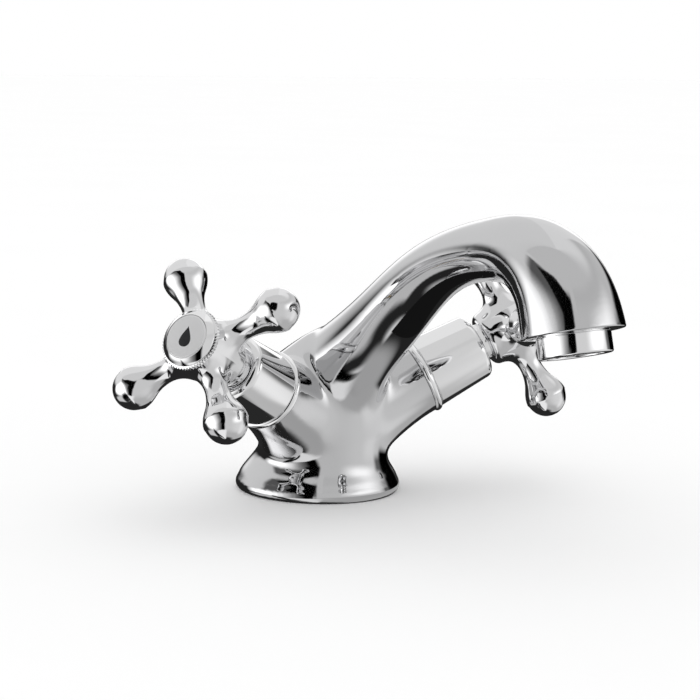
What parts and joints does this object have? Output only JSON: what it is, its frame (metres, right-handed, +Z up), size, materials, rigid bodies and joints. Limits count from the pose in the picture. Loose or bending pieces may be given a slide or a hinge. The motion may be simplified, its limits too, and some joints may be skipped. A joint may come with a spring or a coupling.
{
  "type": "bathroom mixer faucet",
  "caption": "Deck-mounted basin mixer: cast swan-neck body on a round foot, with angled side valves turned by cross handles with ball ends.",
  "frame": {"origin": "centre of the foot's underside", "axes": "+Z up; the spout reaches towards -Y; the hot valve is on -X and the cold valve on +X"},
  "size_m": [0.179, 0.1847, 0.1105],
  "materials": {
    "chrome_body": "polished chrome plate on cast brass",
    "chrome_trim": "polished chrome plate on turned brass",
    "chrome_handle": "polished chrome plate on cast brass",
    "chrome_cap": "chrome plate with a fine brushed grain",
    "brass": "turned brass",
    "steel": "stainless steel",
    "rubber": "black rubber",
    "ceramic": "lapped alumina",
    "aerator_plastic": "moulded white plastic"
  },
  "bodies": {
    "faucet": {"body": "chrome_body", "base_gasket": "rubber", "aerator_shell": "chrome_trim", "aerator_insert": "aerator_plastic", "aerator_washer": "rubber", "hot_collar_ring": "chrome_trim", "cold_collar_ring": "chrome_trim", "hot_bonnet": "chrome_trim", "cold_bonnet": "chrome_trim", "hot_headwork": "brass", "cold_headwork": "brass", "hot_headwork_oring": "rubber", "cold_headwork_oring": "rubber", "hot_seat_seal": "rubber", "cold_seat_seal": "rubber", "hot_fixed_disc": "ceramic", "cold_fixed_disc": "ceramic", "hot_lock_nut": "chrome_trim", "cold_lock_nut": "chrome_trim"},
    "hot_handle_group": {"hot_moving_disc": "ceramic", "hot_spindle": "brass", "hot_spindle_orings": "rubber", "hot_circlip": "steel", "hot_handle": "chrome_handle", "hot_handle_screw": "steel", "hot_index_bezel": "chrome_trim", "hot_index_cap": "chrome_cap"},
    "cold_handle_group": {"cold_moving_disc": "ceramic", "cold_spindle": "brass", "cold_spindle_orings": "rubber", "cold_circlip": "steel", "cold_handle": "chrome_handle", "cold_handle_screw": "steel", "cold_index_bezel": "chrome_trim", "cold_index_cap": "chrome_cap"}
  },
  "joints": [
    {"name": "hot_handle_turn", "type": "hinge", "parent": "faucet", "child": "hot_handle_group", "pos_m": [-0.04948, -0.02129, 0.04983], "axis": [-0.8247, -0.3332, 0.4571], "range_deg": [0, 90]},
    {"name": "cold_handle_turn", "type": "hinge", "parent": "faucet", "child": "cold_handle_group", "pos_m": [0.04948, -0.02129, 0.04983], "axis": [0.8247, -0.3332, 0.4571], "range_deg": [0, 90]}
  ]
}
